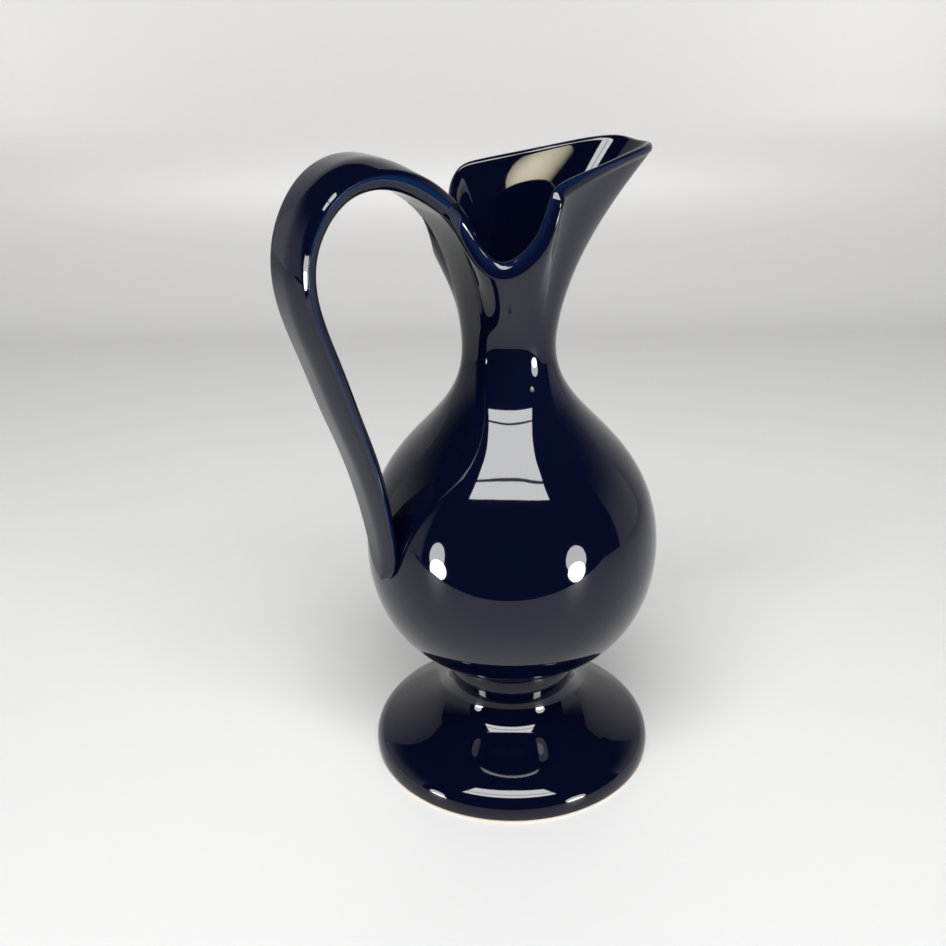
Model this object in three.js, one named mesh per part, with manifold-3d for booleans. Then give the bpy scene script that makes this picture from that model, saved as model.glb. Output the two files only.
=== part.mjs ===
// A footed ewer in dark glazed stoneware, in millimetres, with +Z up and the spout towards +X.
// It is made as a potter makes it, in four clay members: a thrown hollow foot, a thrown globe,
// a neck whose mouth is pulled out into a beak and a rear tongue, and a strap handle.
// The handle carries the tongue on in one sweep and comes down on the side of the globe.

import * as THREE from "three";
import { mergeVertices } from "three/addons/utils/BufferGeometryUtils.js";
import Module from "manifold-3d";

const wasm = await Module();
wasm.setup();

// Driving dimensions: the turned members.
const BELLY_RADIUS = 57.1;
const BELLY_LOW = 48.9;
const BELLY_HIGH = 79.7;
const NECK_RADIUS = 16.5;
const NECK_JOINT_DROP = 34;
const WALL = 3.2;
const FOOT_PAST_GLOBE = 0.1;
const FOOT_BAND = 2.2;
const FOOT_BAND_DRAFT = 0.2;
const FOOT_WAIST_RADIUS = 44;
const FOOT_WAIST_HEIGHT = 15.9;
const STEM_RADIUS = 26.2;
const STEM_HEIGHT = 9.1;
const STEM_ROUNDING = 1.2;
const FOOT_HEIGHT = 45.6;
const FOOT_WALL = 4;

// Where the inner control points of the turned sweeps stand, as shares of width and height.
const DOME_FULLNESS = 0.5;
const DOME_TUCK = [0.53, 0.26];
const TRUMPET_START = [0.44, 0.37];
const TRUMPET_END = [0.03, 0.46];
const GLOBE_BASE = [0.83, 0.163];
const GLOBE_FULLNESS = 0.436;
const SHOULDER_FULLNESS = 0.549;
const NECK_SLIMNESS = 0.383;

// Driving dimensions: the mouth. Rises are above the neck's waist.
const TIP_REACH = 55.6;
const TIP_RISE = 68.4;
const MOUTH_HALF_WIDTH = 29.2;
const LOBE_RISE = 60.2;
const CUT_RISE = 37.2;
const RIM_THICKNESS = 3.4;
const CUT_BEVEL = 2.8;
const TONGUE_BACK = 33.5;
const TONGUE_RISE = 59.8;
const TONGUE_LEAN = 48;
const ROOT_SWELL = 3.7;

// Driving dimensions: the strap handle.
const STRAP_WIDTH = 25.4;
const STRAP_ROOT_THICKNESS = 7.4;
const ARCH_RISE = 72.6;
const HANDLE_REACH = 85;
const TAIL_WIDTH = 17.2;
const TAIL_THICKNESS = 4.4;
const TAIL_RISE = 0.7;
const TAIL_LANDING = 13;

// A joint between two clay members is a film of slip.
const SLIP = 0.3;

// Counts of facets.
const TURN_STEPS = 48;
const RIM_STEPS = 3;
const EDGE_STEPS = 5;
const WALL_STEPS = 8;
const STRAP_STEPS = 4;

// Places worked out from the sizes above.
const FOOT_RADIUS = BELLY_RADIUS + FOOT_PAST_GLOBE;
const JOINT_RADIUS = STEM_RADIUS - STEM_ROUNDING;
const BELLY_BASE = FOOT_HEIGHT + SLIP;
const WIDEST = FOOT_HEIGHT + BELLY_LOW;
const WAIST = WIDEST + BELLY_HIGH;
const NECK_JOINT = WAIST - NECK_JOINT_DROP;

// A smooth stretch of profile: a cubic curve from its four control points (radius, height).
function sweep(steps, ...controls) {
  const points = controls.map(([r, z]) => new THREE.Vector2(r, z));
  return new THREE.CubicBezierCurve(...points).getPoints(steps);
}

// A rising profile moved square to itself, towards the axis.
function inside(profile, wall) {
  return profile.map((point, i) => {
    const before = profile[Math.max(i - 1, 0)];
    const after = profile[Math.min(i + 1, profile.length - 1)];
    const along = after.clone().sub(before).normalize();
    return new THREE.Vector2(point.x - along.y * wall, point.y + along.x * wall);
  });
}

// The point of a rising profile at a height.
function pointAt(profile, height) {
  const i = profile.findIndex((point, k) => k > 0 && point.y >= height);
  const [a, b] = [profile[i - 1], profile[i]];
  return a.clone().lerp(b, (height - a.y) / (b.y - a.y));
}

// The stretch of a rising profile between two heights, with its ends exactly on them.
function between(profile, low, high) {
  const inner = profile.filter((point) => point.y > low + SLIP && point.y < high - SLIP);
  return [pointAt(profile, low), ...inner, pointAt(profile, high)];
}

// A turned solid from a profile that closes on itself or starts and ends on the axis.
function turned(profile) {
  const points = profile.map((point) => new THREE.Vector2(point.x, point.y));
  return new THREE.LatheGeometry(points, TURN_STEPS).rotateX(Math.PI / 2);
}

// The globe's outer profile, from its base to the waist of the neck.
// Both stretches bend alike where they meet at the widest line.
function globeProfile() {
  const [spread, climb] = GLOBE_BASE;
  const low = sweep(
    9,
    [JOINT_RADIUS, BELLY_BASE],
    [BELLY_RADIUS * spread, BELLY_BASE + BELLY_LOW * climb],
    [BELLY_RADIUS, WIDEST - BELLY_LOW * GLOBE_FULLNESS],
    [BELLY_RADIUS, WIDEST],
  );
  const high = sweep(
    15,
    [BELLY_RADIUS, WIDEST],
    [BELLY_RADIUS, WIDEST + BELLY_HIGH * SHOULDER_FULLNESS],
    [NECK_RADIUS, WAIST - BELLY_HIGH * NECK_SLIMNESS],
    [NECK_RADIUS, WAIST],
  );
  return [...low, ...high.slice(1)];
}

// The globe's profile stood in by a wall, or out by a negative one, up to the same height.
function globeStoodIn(wall) {
  const profile = inside(globeProfile(), wall);
  profile.at(-1).set(NECK_RADIUS - wall, WAIST);
  return profile;
}

// The outside of the foot: a low band, a dome over it, and a sweep in and up like a trumpet.
function footProfile() {
  const base = FOOT_HEIGHT - STEM_HEIGHT;
  const flare = FOOT_RADIUS - FOOT_WAIST_RADIUS;
  const drop = FOOT_WAIST_HEIGHT - FOOT_BAND;
  const spread = FOOT_WAIST_RADIUS - STEM_RADIUS;
  const fall = base - FOOT_WAIST_HEIGHT;
  const dome = sweep(
    6,
    [FOOT_RADIUS, FOOT_BAND],
    [FOOT_RADIUS, FOOT_BAND + drop * DOME_FULLNESS],
    [FOOT_WAIST_RADIUS + flare * DOME_TUCK[0], FOOT_WAIST_HEIGHT - drop * DOME_TUCK[1]],
    [FOOT_WAIST_RADIUS, FOOT_WAIST_HEIGHT],
  );
  const trumpet = sweep(
    7,
    [FOOT_WAIST_RADIUS, FOOT_WAIST_HEIGHT],
    [STEM_RADIUS + spread * TRUMPET_START[0], FOOT_WAIST_HEIGHT + drop * TRUMPET_START[1]],
    [STEM_RADIUS + spread * TRUMPET_END[0], base - fall * TRUMPET_END[1]],
    [STEM_RADIUS, base],
  );
  return [new THREE.Vector2(FOOT_RADIUS - FOOT_BAND_DRAFT, 0), ...dome, ...trumpet.slice(1)];
}

// The foot: its outside, a short upright stem with a rounded shoulder, and the hollow below.
function foot() {
  const outer = footProfile();
  const inner = inside(outer, FOOT_WALL);
  inner[0].y = 0;
  const stem = [
    new THREE.Vector2(STEM_RADIUS - SLIP, FOOT_HEIGHT - 2 * STEM_ROUNDING),
    new THREE.Vector2(JOINT_RADIUS, FOOT_HEIGHT),
  ];
  const bore = new THREE.Vector2(JOINT_RADIUS - FOOT_WALL, FOOT_HEIGHT);
  return turned([...outer, ...stem, bore, ...inner.reverse(), outer[0]]);
}

// The globe: a closed floor, a thin wall, and a flat ring at the top for the neck.
function belly() {
  const wall = globeProfile();
  const outer = between(wall, BELLY_BASE, NECK_JOINT);
  const lining = globeStoodIn(WALL);
  const inner = between(lining, lining[0].y, NECK_JOINT);
  const underside = new THREE.Vector2(0, BELLY_BASE);
  const floor = new THREE.Vector2(0, lining[0].y);
  return turned([underside, ...outer, ...inner.reverse(), floor]);
}

// Half of the rim, which seen from above is half a leaf, from the beak's tip to the edge of the
// rear tongue. Each station: the angle round the neck that its wall starts from, the place of
// the rim, how far the wall leans out there, half its thickness, and its bevel.
function rimStations() {
  const half = RIM_THICKNESS / 2;
  const root = STRAP_ROOT_THICKNESS / 2;
  const edge = STRAP_WIDTH / 2 - roundness(root);
  const back = -TONGUE_BACK;
  const wide = MOUTH_HALF_WIDTH;
  const station = (angle, x, y, rise, lean, thick, bevel) => {
    const place = new THREE.Vector3(x, y, WAIST + rise);
    return { angle, place, lean, thick, bevel };
  };
  return [
    station(0, TIP_REACH, 0, TIP_RISE, 46, half, 0.3),
    station(14, TIP_REACH - 1.6, 8.8, TIP_RISE + 0.5, 44, half, 0.4),
    station(34, TIP_REACH - 13, 14.4, TIP_RISE, 36, half, 0.6),
    station(58, 23.7, wide - 9.3, TIP_RISE - 2.4, 26, half, 1),
    station(80, 4.5, wide - 3.3, LOBE_RISE + 3.2, 20, half + 0.1, 1.5),
    station(89, -2.2, wide - 0.4, LOBE_RISE, 20, half + 0.2, 1.8),
    station(97, -4.6, wide, LOBE_RISE - 6.9, 22, half + 0.4, 1.8),
    station(108, -8, wide - 2.2, CUT_RISE + 7.4, 25, half + 0.9, CUT_BEVEL - 0.8),
    station(126, -16.4, wide - 7.8, CUT_RISE, 28, half + 1.6, CUT_BEVEL),
    station(142, -22.8, wide - 14.8, CUT_RISE + 5.4, 34, half + 1.1, CUT_BEVEL - 1),
    station(154, back + 5.6, edge + 0.2, TONGUE_RISE - 8, TONGUE_LEAN - 6, half + 1.2, 0.8),
    station(162, back, edge, TONGUE_RISE, TONGUE_LEAN, root, 0),
  ];
}

// How far a rounded edge stands out, for half a thickness. On a thick edge it grows slower.
function roundness(half) {
  const thin = RIM_THICKNESS / 2;
  return half > thin ? thin + (half - thin) * 0.55 : half;
}

// The two directions in a wall that leans out by an angle along a heading: up it, and square
// out of it.
function leaning(heading, lean) {
  const angle = THREE.MathUtils.degToRad(lean);
  const up = heading.clone().multiplyScalar(Math.sin(angle)).setZ(Math.cos(angle));
  const out = heading.clone().multiplyScalar(Math.cos(angle)).setZ(-Math.sin(angle));
  return { up, out };
}

// The free rim as smooth curves that share a parameter: its places, how its wall stands, and
// its edge. They run from the tongue's edge on one side, past the tip, to the other.
function rimCurves() {
  const half = rimStations();
  const flip = new THREE.Vector3(1, -1, 1);
  const mirrored = half.slice(1).reverse().map((station) => ({
    ...station, angle: -station.angle, place: station.place.clone().multiply(flip),
  }));
  const all = [...mirrored, ...half];
  const places = all.map((station) => station.place);
  return {
    place: new THREE.CatmullRomCurve3(places, false, "catmullrom"),
    stance: new THREE.SplineCurve(all.map(({ angle, lean }) => new THREE.Vector2(angle, lean))),
    edge: new THREE.SplineCurve(all.map(({ thick, bevel }) => new THREE.Vector2(thick, bevel))),
    spans: all.length - 1,
  };
}

// Stations of the whole mouth: the free rim, then straight across the tongue to close the ring.
function mouthStations() {
  const { place, stance, edge, spans } = rimCurves();
  const steps = spans * RIM_STEPS;
  const stations = [];
  for (let i = 0; i <= steps; i += 1) {
    const t = i / steps;
    const [angle, lean] = stance.getPoint(t).toArray();
    const [thick, bevel] = edge.getPoint(t).toArray();
    const corner = i === 0 || i === steps;
    const along = corner ? null : place.getTangent(t);
    stations.push({ angle, lean, thick, bevel, centre: place.getPoint(t), along, open: true });
  }
  const [first, last] = [stations[0], stations[steps]];
  for (let i = 1; i < RIM_STEPS + 1; i += 1) {
    const t = i / (RIM_STEPS + 1);
    const angle = THREE.MathUtils.lerp(last.angle, first.angle + 360, t);
    const centre = last.centre.clone().lerp(first.centre, t);
    stations.push({ ...last, angle, centre, open: false });
  }
  return stations;
}

// The swelling down the back of the neck, where the tongue's root thickens the wall.
function rootSwell(angle, height) {
  const facing = Math.max(0, -Math.cos(angle)) ** 2;
  const grow = THREE.MathUtils.smoothstep(height, NECK_JOINT + SLIP, NECK_JOINT + 20);
  const fade = 1 - THREE.MathUtils.smoothstep(height, WAIST, WAIST + CUT_RISE + 10);
  return ROOT_SWELL * facing * grow * fade;
}

// The heading that a station's wall leans out along: away from the neck, except at the back,
// where it turns to the strap's own way.
function wallHeading(station, start) {
  const aside = THREE.MathUtils.euclideanModulo(station.angle + 180, 360) - 180;
  const rear = THREE.MathUtils.smoothstep(Math.abs(aside), 118, 162);
  const away = station.centre.clone().sub(start).setZ(0).normalize();
  return away.lerp(new THREE.Vector3(-1, 0, 0), rear).normalize();
}

// One line up a wall, from the round waist to the rim, which it reaches in line with the wall.
// Its first reach gives the waist the same bend as the profile below it.
function wallLine(start, end, up) {
  const arrive = end.clone().addScaledVector(up, (WAIST - end.z) * 0.32);
  const aside = Math.max(Math.hypot(arrive.x - start.x, arrive.y - start.y), SLIP);
  const reach = BELLY_HIGH * NECK_SLIMNESS * Math.sqrt(aside / (BELLY_RADIUS - NECK_RADIUS));
  const leave = start.clone().setZ(start.z + reach);
  return new THREE.CubicBezierCurve3(start, leave, arrive, end).getPoints(WALL_STEPS);
}

// A point of the rounded rim, at a bend from 0 outside to half a turn inside. The bevel draws
// the outer quarter down and the crest inwards.
function rimPoint(station, normal, crest, bend) {
  const { centre, thick, bevel, open } = station;
  const reach = open ? roundness(thick) : 0;
  const drop = bend < Math.PI / 2 ? bevel : 0;
  const aside = thick * Math.cos(bend) - bevel * Math.sin(bend) ** 2;
  const rise = (reach + drop) * Math.sin(bend) - drop;
  return centre.clone().addScaledVector(normal, aside).addScaledVector(crest, rise);
}

// One slice of the neck and mouth: up the outside, over the rounded rim, down the inside.
function mouthSlice(station, outerNeck, innerNeck) {
  const angle = THREE.MathUtils.degToRad(station.angle);
  const radial = new THREE.Vector3(Math.cos(angle), Math.sin(angle), 0);
  const placed = (point) => radial.clone().multiplyScalar(point.x).setZ(point.y);
  const start = placed(new THREE.Vector2(NECK_RADIUS - WALL / 2, WAIST));
  const { up, out } = leaning(wallHeading(station, start), station.lean);
  const along = station.along ?? up.clone().multiplyScalar(Math.sign(station.centre.y));
  const normal = out.clone().addScaledVector(along, -out.dot(along)).normalize();
  const crest = normal.clone().cross(along).normalize();
  const rim = [];
  for (let i = 0; i <= EDGE_STEPS + 1; i += 1) {
    rim.push(rimPoint(station, normal, crest, (Math.PI * i) / (EDGE_STEPS + 1)));
  }
  const outer = outerNeck.slice(0, -1).map(placed);
  outer.push(...wallLine(placed(outerNeck.at(-1)), rim[0], up));
  outer.forEach((point) => {
    point.x -= rootSwell(angle, point.z);
  });
  const inner = innerNeck.slice(0, -1).map(placed);
  inner.push(...wallLine(placed(innerNeck.at(-1)), rim.at(-1), up));
  return [...outer, ...rim.slice(1, -1), ...inner.reverse()];
}

// A closed surface through rows of points that each close on themselves.
// The last row joins the first, or else both ends are closed flat.
function skin(rows, ring) {
  const count = rows[0].length;
  const points = rows.flat();
  const faces = [];
  const spans = ring ? rows.length : rows.length - 1;
  for (let i = 0; i < spans; i += 1) {
    const next = (i + 1) % rows.length;
    for (let j = 0; j < count; j += 1) {
      const k = (j + 1) % count;
      faces.push(i * count + j, next * count + j, i * count + k);
      faces.push(i * count + k, next * count + j, next * count + k);
    }
  }
  if (!ring) {
    const [start, end] = [points.length, points.length + 1];
    const last = (rows.length - 1) * count;
    points.push(meanOf(rows[0]), meanOf(rows.at(-1)));
    for (let j = 0; j < count; j += 1) {
      const k = (j + 1) % count;
      faces.push(start, j, k);
      faces.push(end, last + k, last + j);
    }
  }
  const geometry = new THREE.BufferGeometry().setFromPoints(points);
  geometry.setIndex(faces);
  return geometry;
}

// The mean of some points.
function meanOf(points) {
  const sum = points.reduce((total, point) => total.add(point), new THREE.Vector3());
  return sum.divideScalar(points.length);
}

// The neck and mouth: one wall that starts round at the joint and ends at the leaf-shaped rim.
function neckAndMouth() {
  const top = NECK_JOINT + SLIP;
  const outerNeck = between(globeProfile(), top, WAIST);
  const innerNeck = between(globeStoodIn(WALL), top, WAIST);
  const rows = mouthStations().map((station) => mouthSlice(station, outerNeck, innerNeck));
  return skin(rows, true);
}

// The strap's section: flat faces and rounded edges, as pairs of (sideways, outwards).
function strapSection(halfWidth, halfThick) {
  const reach = Math.min(roundness(halfThick), halfWidth);
  const flat = halfWidth - reach;
  const section = [];
  for (const side of [1, -1]) {
    for (let i = 0; i <= EDGE_STEPS + 1; i += 1) {
      const bend = Math.PI * (i / (EDGE_STEPS + 1) - 0.5);
      section.push([side * (flat + reach * Math.cos(bend)), side * halfThick * Math.sin(bend)]);
    }
    section.push([(side * flat) / 3, side * halfThick], [(-side * flat) / 3, side * halfThick]);
  }
  return section;
}

// The strap's stations from the tongue to the tail: where its middle runs, and its half sizes.
// The last two lie on the globe, and the two before them lead down to it in a gentle slope.
function strapStations() {
  const globe = globeProfile();
  const landing = WIDEST + TAIL_LANDING;
  const tip = WIDEST + TAIL_RISE;
  const beside = (height, lift) => -pointAt(globe, height).x - lift;
  const root = STRAP_ROOT_THICKNESS / 2;
  const wide = STRAP_WIDTH / 2;
  const tail = TAIL_WIDTH / 2;
  const thin = TAIL_THICKNESS / 2;
  const back = -HANDLE_REACH;
  const arch = WAIST + ARCH_RISE;
  const landed = beside(landing, 2);
  const slope = (landed - back) / 5;
  const station = (x, z, halfThick, halfWidth) => ({ x, z, halfThick, halfWidth });
  return [
    station(-TONGUE_BACK, WAIST + TONGUE_RISE, root, wide),
    station(-52.7, arch, root + 0.5, wide),
    station(back + 12.1, arch - 2.3, root + 0.3, wide - 0.4),
    station(back, arch - 20.1, root - 0.5, wide - 1),
    station(back + 0.1, arch - 41, root - 0.5, wide - 1.2),
    station(back + 6.5, arch - 60.9, root - 0.4, wide - 1.3),
    station(back + 12.9, arch - 80.6, root - 0.4, wide - 1.6),
    station(landed - slope * 1.42, WIDEST + 52.4, root - 0.5, wide - 2.3),
    station(landed - slope * 0.45, WIDEST + 31.9, thin + 0.6, tail + 1),
    station(landed, landing, thin, tail),
    station(beside(tip, 0.9), tip, thin - 0.6, tail - 0.8),
  ];
}

// The strap's curves: its middle line and its half sizes over the same spans.
// A station ahead of the first makes the strap leave the tongue in line with it.
function strapCurves() {
  const stations = strapStations();
  const lean = THREE.MathUtils.degToRad(TONGUE_LEAN);
  const [first, second] = stations;
  const stride = 2 * Math.hypot(second.x - first.x, second.z - first.z);
  const x = second.x + stride * Math.sin(lean);
  const z = second.z - stride * Math.cos(lean);
  const all = [{ ...first, x, z }, ...stations];
  const places = all.map((station) => new THREE.Vector3(station.x, 0, station.z));
  const sizes = all.map(({ halfThick, halfWidth }) => new THREE.Vector2(halfThick, halfWidth));
  return {
    path: new THREE.CatmullRomCurve3(places, false, "catmullrom"),
    size: new THREE.SplineCurve(sizes),
    spans: all.length - 1,
  };
}

// The handle: the strap carried along its curve from the cut tongue, with a thumb-shaped tail
// whose underside is shaped by the globe that it lies on.
function handle() {
  const { path, size, spans } = strapCurves();
  const steps = (spans - 1) * STRAP_STEPS;
  const rows = [];
  for (let i = 0; i <= steps; i += 1) {
    const t = (1 + i / STRAP_STEPS) / spans;
    const along = path.getTangent(t);
    const out = new THREE.Vector3(along.z, 0, -along.x);
    const centre = path.getPoint(t).addScaledVector(along, i === 0 ? SLIP : 0);
    const [halfThick, halfWidth] = size.getPoint(t).toArray();
    const tip = Math.max(0, 1 - (steps - i) / STRAP_STEPS) * 0.97;
    const section = strapSection(halfWidth * Math.sqrt(1 - tip ** 2), halfThick);
    rows.push(section.map(([side, lift]) => centre.clone().addScaledVector(out, lift).setY(side)));
  }
  return cut(skin(rows, false), globeBody());
}

// The globe as a full solid, stood off by the film of slip.
function globeBody() {
  const face = globeStoodIn(-SLIP);
  const [base, top] = [face[0], face.at(-1)].map((point) => new THREE.Vector2(0, point.y));
  return turned([base, ...face, top]);
}

// A closed geometry as a solid that can be cut.
function solid(geometry) {
  const bare = geometry.clone();
  bare.deleteAttribute("normal");
  bare.deleteAttribute("uv");
  const merged = mergeVertices(bare, 1e-4);
  const mesh = new wasm.Mesh({
    numProp: 3,
    vertProperties: merged.attributes.position.array,
    triVerts: Uint32Array.from(merged.index.array),
  });
  return new wasm.Manifold(mesh);
}

// One geometry with another taken out of it.
function cut(geometry, tool) {
  const mesh = solid(geometry).subtract(solid(tool)).getMesh();
  const result = new THREE.BufferGeometry();
  result.setAttribute("position", new THREE.BufferAttribute(mesh.vertProperties, 3));
  result.setIndex(new THREE.BufferAttribute(mesh.triVerts, 1));
  return result;
}

// The glaze is a deep blue, nearly black; where it runs thin on the strap it is a shade lighter.
function member(name, geometry, color) {
  geometry.computeVertexNormals();
  const glaze = new THREE.MeshStandardMaterial({ color, roughness: 0.08, metalness: 0 });
  const mesh = new THREE.Mesh(geometry, glaze);
  mesh.name = name;
  return mesh;
}

const ewer = new THREE.Group();
ewer.add(
  member("foot", foot(), 0x0a0e1c),
  member("belly", belly(), 0x0a0d1e),
  member("neck_and_mouth", neckAndMouth(), 0x0b0f22),
  member("handle", handle(), 0x0c1228),
);

// The foot stands on the ground, midway between the spout's tip and the back of the handle.
const extent = new THREE.Box3().setFromObject(ewer);
ewer.position.x = -(extent.min.x + extent.max.x) / 2;

export default ewer;
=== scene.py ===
# %% [markdown]
# # A footed ewer in dark glaze
# The real ewer is pottery. A foot and a globe are turned on the wheel, a neck is drawn up
# and its mouth pulled out into a beak, and a flat strap of clay runs from the rim down to
# the side of the globe. One glaze covers all of it: a blue so deep that it looks black,
# except on sharp edges, where the glaze runs thin and shows its colour. Only a thin line
# under the foot is left bare.
#
# The imported model gives the frame that everything here stands in: its bodies, its nodes
# and their boxes. First it is loaded.

# %% The imported frame
import math

import bpy
import numpy as np
from mathutils import Matrix, Vector


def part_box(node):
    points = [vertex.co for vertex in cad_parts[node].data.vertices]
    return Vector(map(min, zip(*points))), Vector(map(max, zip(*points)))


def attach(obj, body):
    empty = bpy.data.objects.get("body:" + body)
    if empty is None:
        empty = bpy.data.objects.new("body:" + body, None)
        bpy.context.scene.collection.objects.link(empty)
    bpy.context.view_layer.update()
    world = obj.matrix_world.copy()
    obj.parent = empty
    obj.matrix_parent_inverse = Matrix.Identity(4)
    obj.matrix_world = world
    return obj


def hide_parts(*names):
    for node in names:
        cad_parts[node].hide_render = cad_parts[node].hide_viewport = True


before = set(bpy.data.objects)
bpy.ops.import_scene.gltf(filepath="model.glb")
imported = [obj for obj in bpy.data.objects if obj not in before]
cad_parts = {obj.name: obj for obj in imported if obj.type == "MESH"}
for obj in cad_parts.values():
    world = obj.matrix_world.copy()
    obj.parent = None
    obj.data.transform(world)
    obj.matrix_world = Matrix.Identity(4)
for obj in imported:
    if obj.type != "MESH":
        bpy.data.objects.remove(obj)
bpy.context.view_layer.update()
print("nodes:", sorted(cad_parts))

# %% [markdown]
# ## Sizes
# A potter would note a handful of sizes for this pot, and the shapes below are worked out
# from them. They are in millimetres, with heights above the ground and distances from the
# upright axis that the pot turned about. Those that the frame can tell are read from its
# boxes, so the surfaces stay on the members that they stand for.

# %% Named sizes
MM = 0.001
foot_low, foot_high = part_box("foot")
globe_low, globe_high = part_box("belly")
handle_low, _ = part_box("handle")
AXIS_X = (foot_low.x + foot_high.x) / 2 / MM
FOOT_HEIGHT = foot_high.z / MM
BELLY_RADIUS = (globe_high.y - globe_low.y) / 2 / MM
NECK_JOINT = globe_high.z / MM
HANDLE_BACK = AXIS_X - handle_low.x / MM

FOOT_RADIUS = 57.0
FOOT_BAND = 2.2
FOOT_BEND = (44.0, 15.9)
STEM_RADIUS = 25.2
STEM_BASE = 32.8
JOINT_RADIUS = 25.0
FOOT_WALL = 4.0
WIDEST = 94.5
NECK_RADIUS = 16.4
WAIST = 176.4
WALL = 3.2

RIM_HALF = 1.7
MOUTH_HALF_WIDTH = 29.2
TIP_REACH = 55.6
TIP_TOP = 242.6
TONGUE_BACK = 33.5
TONGUE_TOP = 234.0
TONGUE_LEAN = 48.0
ROOT_SWELL = 2.1
FRONT_PRESS = 2.0

STRAP_HALF_WIDTH = 12.7
STRAP_HALF_ROOT = 3.7
ARCH_TOP = 245.86
TAIL_HALF_WIDTH = 8.6
TAIL_HALF = 2.2
print(f"axis at x = {AXIS_X:.2f} mm, globe radius {BELLY_RADIUS:.2f}, "
      f"neck joint at {NECK_JOINT:.2f}")

# %% [markdown]
# ## Curves
# Two kinds of curve draw everything. A cubic curve leaves its first point towards its
# second and arrives at its fourth from its third, which suits a turned profile. A spline
# runs through a list of stations and keeps its bend steady from one to the next. That
# matters here more than on a matt pot, because a mirror-like glaze shows every change of
# bend as a kink in the reflections.

# %% Curves through few points
def cubic(controls, t):
    """Weighs four control points by (1-t)^3, 3(1-t)^2 t, 3(1-t)t^2 and t^3."""
    a, b, c, d = (np.asarray(point, float) for point in controls)
    t = np.asarray(t)[:, None]
    s = 1 - t
    return a * s**3 + 3 * b * s * s * t + 3 * c * s * t * t + d * t**3


def spline(stations, u, ends=None):
    """Cubic pieces through the stations at u = 0, 1, 2 and so on, whose slopes solve
    m[i-1] + 4 m[i] + m[i+1] = 3 (p[i+1] - p[i-1]), so that slope and bend run on."""
    p = np.asarray(stations, float)
    n = len(p)
    matrix = 4 * np.eye(n) + np.eye(n, k=1) + np.eye(n, k=-1)
    right = np.zeros_like(p)
    right[1:-1] = 3 * (p[2:] - p[:-2])
    if ends is None:
        matrix[0, 0] = matrix[-1, -1] = 2
        right[0], right[-1] = 3 * (p[1] - p[0]), 3 * (p[-1] - p[-2])
    else:
        matrix[0, :2] = (1, 0)
        matrix[-1, -2:] = (0, 1)
        right[0], right[-1] = ends
    m = np.linalg.solve(matrix, right)
    k = np.clip(np.floor(u).astype(int), 0, n - 2)
    f = (u - k)[:, None]
    return ((1 + 2 * f) * (1 - f) ** 2 * p[k] + f * (1 - f) ** 2 * m[k]
            + f * f * (3 - 2 * f) * p[k + 1] + f * f * (f - 1) * m[k + 1])


def smooth(x, low, high):
    """0 below low, 1 above high, and 3t^2 - 2t^3 between, where t is how far x has come."""
    t = np.clip((x - low) / (high - low), 0, 1)
    return t * t * (3 - 2 * t)


def unit(vectors):
    """Each vector over its own length."""
    return vectors / np.maximum(np.linalg.norm(vectors, axis=-1, keepdims=True), 1e-12)


def evenly(line, count):
    """The same line with count points at equal steps along it."""
    along = np.r_[0, np.cumsum(np.linalg.norm(np.diff(line, axis=0), axis=1))]
    at = np.linspace(0, along[-1], count)
    return np.stack([np.interp(at, along, column) for column in line.T], 1)


def stood_in(line, wall):
    """A rising profile of (radius, height) moved square to itself towards the axis."""
    along = unit(np.gradient(line, axis=0, edge_order=2))
    return line + wall * np.stack([-along[:, 1], along[:, 0]], 1)

# %% [markdown]
# ## From grids to a mesh
# Every surface here is a grid of points worked out at once. A piece is a few such grids
# that share their borders: outside, edge, inside. Each grid brings its own normals, from
# the slopes of the surface itself, so that two members that meet in a smooth wall are
# also shaded as one. It also brings its tone, a number from 0 to 1 that a material can read
# to tell one part of a surface from another. Points that fall on each other are merged,
# which closes every seam and pole.

# %% Normals and cells of a grid
def slopes(points, axis, closed):
    """Half the step from the point before to the point after, along one way of a grid."""
    if closed:
        return (np.roll(points, -1, axis) - np.roll(points, 1, axis)) / 2
    return np.gradient(points, axis=axis, edge_order=2)


def grid_normals(points, ring=True, loop=False):
    """The cross product of the slopes along the columns and along the rows, made unit."""
    return unit(np.cross(slopes(points, 0, ring), slopes(points, 1, loop)))


def quads(rows, columns, ring, loop):
    """Corner numbers of the cells of a grid, row by row, counted through the grid."""
    i, j = np.meshgrid(np.arange(rows - (not ring)), np.arange(columns - (not loop)), indexing="ij")
    i, j = i.ravel(), j.ravel()
    k, m = (i + 1) % rows, (j + 1) % columns
    return np.stack([i * columns + j, k * columns + j, k * columns + m, i * columns + m], 1)


def sheet(points, normals=None, ring=True, loop=False, tone=None):
    """One grid of a piece: its points in mm, normals, cells, and its tone, 0 to 1."""
    rows, columns = points.shape[:2]
    if normals is None:
        normals = grid_normals(points, ring, loop)
    else:
        normals = np.broadcast_to(normals, points.shape)
    tone = np.zeros((rows, columns)) if tone is None else np.broadcast_to(tone, (rows, columns))
    return (points.reshape(-1, 3), normals.reshape(-1, 3),
            quads(rows, columns, ring, loop), tone.ravel())

# %% One mesh from several grids
def joined(sheets):
    """The sheets as one list of points, normals, cells and tones, with cells renumbered."""
    starts = np.cumsum([0] + [len(points) for points, _, _, _ in sheets])
    cells = np.concatenate([part[2] + start for part, start in zip(sheets, starts)])
    points, normals, tone = (np.concatenate([part[k] for part in sheets]) for k in (0, 1, 3))
    return points, normals, cells, tone


MERGE = 1e-4


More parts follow.
